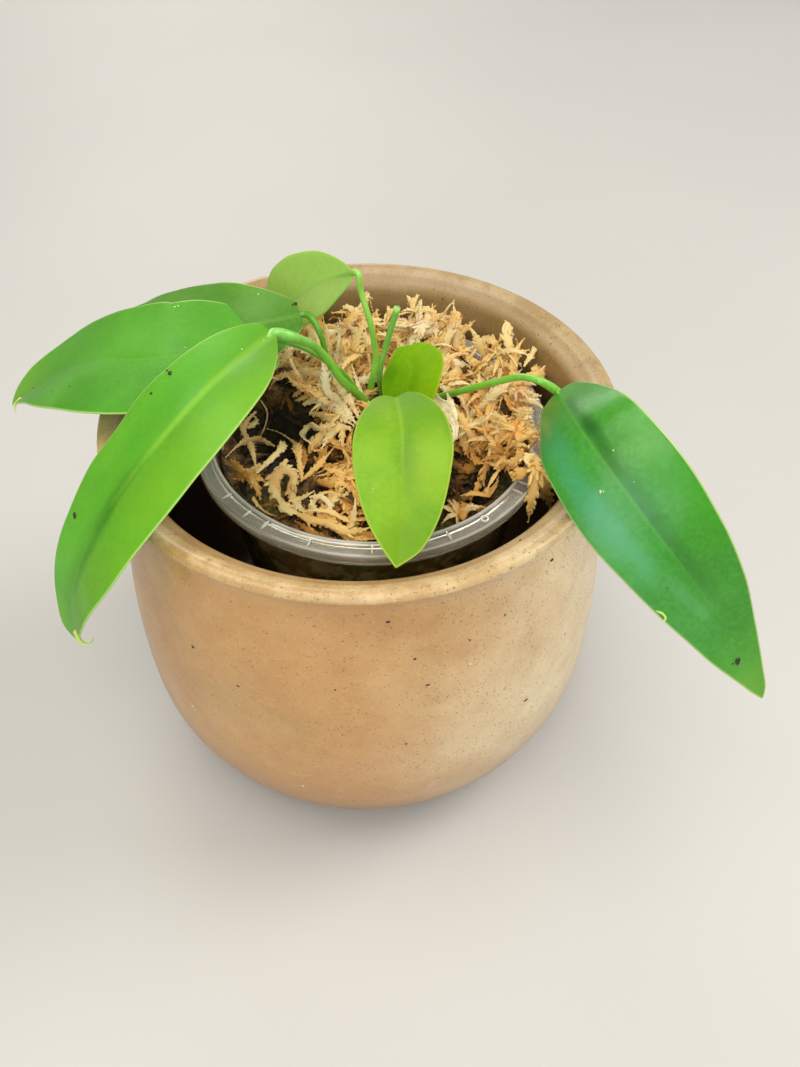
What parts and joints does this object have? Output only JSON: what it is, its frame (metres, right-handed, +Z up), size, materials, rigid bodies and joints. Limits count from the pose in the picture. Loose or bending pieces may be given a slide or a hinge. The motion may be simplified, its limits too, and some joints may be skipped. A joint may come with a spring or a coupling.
{
  "type": "potted queen anthurium",
  "caption": "Young aroid house plant with long pendent leaves, rooted in sphagnum moss in a clear nursery pot that stands inside a bellied stoneware pot.",
  "frame": {"origin": "centre of the stoneware pot's base, on the surface it stands on", "axes": "+Z up along the stoneware pot's axis, +X to the right and -Y towards the viewer in the picture"},
  "size_m": [0.2274, 0.1614, 0.1597],
  "materials": {
    "stoneware": "satin",
    "clear_plastic": "gloss",
    "rootstock": "matte",
    "moss_bed": "matte",
    "moss": "matte",
    "leaf_mature": "satin",
    "leaf_right_dark": "gloss",
    "leaf_young": "satin",
    "stalk": "satin",
    "dry_sheath": "matte"
  },
  "bodies": {
    "root": {"outer_pot": "stoneware", "nursery_pot": "clear_plastic", "rootstock": "rootstock", "moss_bed": "moss_bed", "moss_tuft_back": "moss", "moss_tuft_back_right": "moss", "moss_tuft_right": "moss", "moss_tuft_right_front": "moss", "moss_tuft_middle_right": "moss", "moss_tuft_front": "moss", "moss_tuft_front_left": "moss", "moss_tuft_left": "moss", "moss_tuft_middle_left": "moss", "leaf_front_left": "leaf_mature", "leaf_left": "leaf_mature", "leaf_back_left": "leaf_mature", "leaf_right": "leaf_right_dark", "leaf_back": "leaf_young", "leaf_front": "leaf_young", "leaf_centre": "leaf_young", "stalk_front_left": "stalk", "stalk_left": "stalk", "stalk_back_left": "stalk", "stalk_back": "stalk", "stalk_front": "stalk", "stalk_centre": "stalk", "stalk_right": "stalk", "cut_stalk_stub": "stalk", "dry_leaf_sheath": "dry_sheath"}
  },
  "joints": []
}
